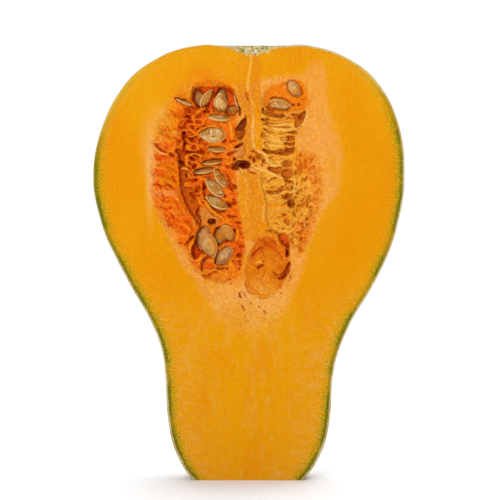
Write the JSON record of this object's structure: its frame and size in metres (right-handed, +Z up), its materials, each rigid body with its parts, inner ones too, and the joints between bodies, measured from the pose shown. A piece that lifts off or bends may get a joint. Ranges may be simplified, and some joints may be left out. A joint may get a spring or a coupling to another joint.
{
  "type": "honeynut squash half",
  "caption": "Small pear-shaped winter squash cut in half lengthwise, standing on its trimmed neck, with an open fibrous seed cavity and flat seeds.",
  "frame": {"origin": "under the middle of the half's box, on the surface that the trimmed neck rests on", "axes": "+Z up, from the trimmed neck to the blossom end; the cut face looks along -Y; +X to the right of someone looking at the cut face"},
  "size_m": [0.107, 0.0454, 0.15],
  "materials": {
    "flesh": "moist orange flesh with a thin tan and green rind",
    "seed": "smooth pale seed coat"
  },
  "bodies": {
    "root": {"squash_half": "flesh", "seed_01": "seed", "seed_02": "seed", "seed_03": "seed", "seed_04": "seed", "seed_05": "seed", "seed_06": "seed", "seed_07": "seed", "seed_08": "seed", "seed_09": "seed", "seed_10": "seed", "seed_11": "seed", "seed_12": "seed", "seed_13": "seed", "seed_14": "seed", "seed_15": "seed", "seed_16": "seed", "seed_17": "seed", "seed_18": "seed", "seed_19": "seed", "seed_20": "seed", "seed_21": "seed", "seed_22": "seed"}
  },
  "joints": []
}
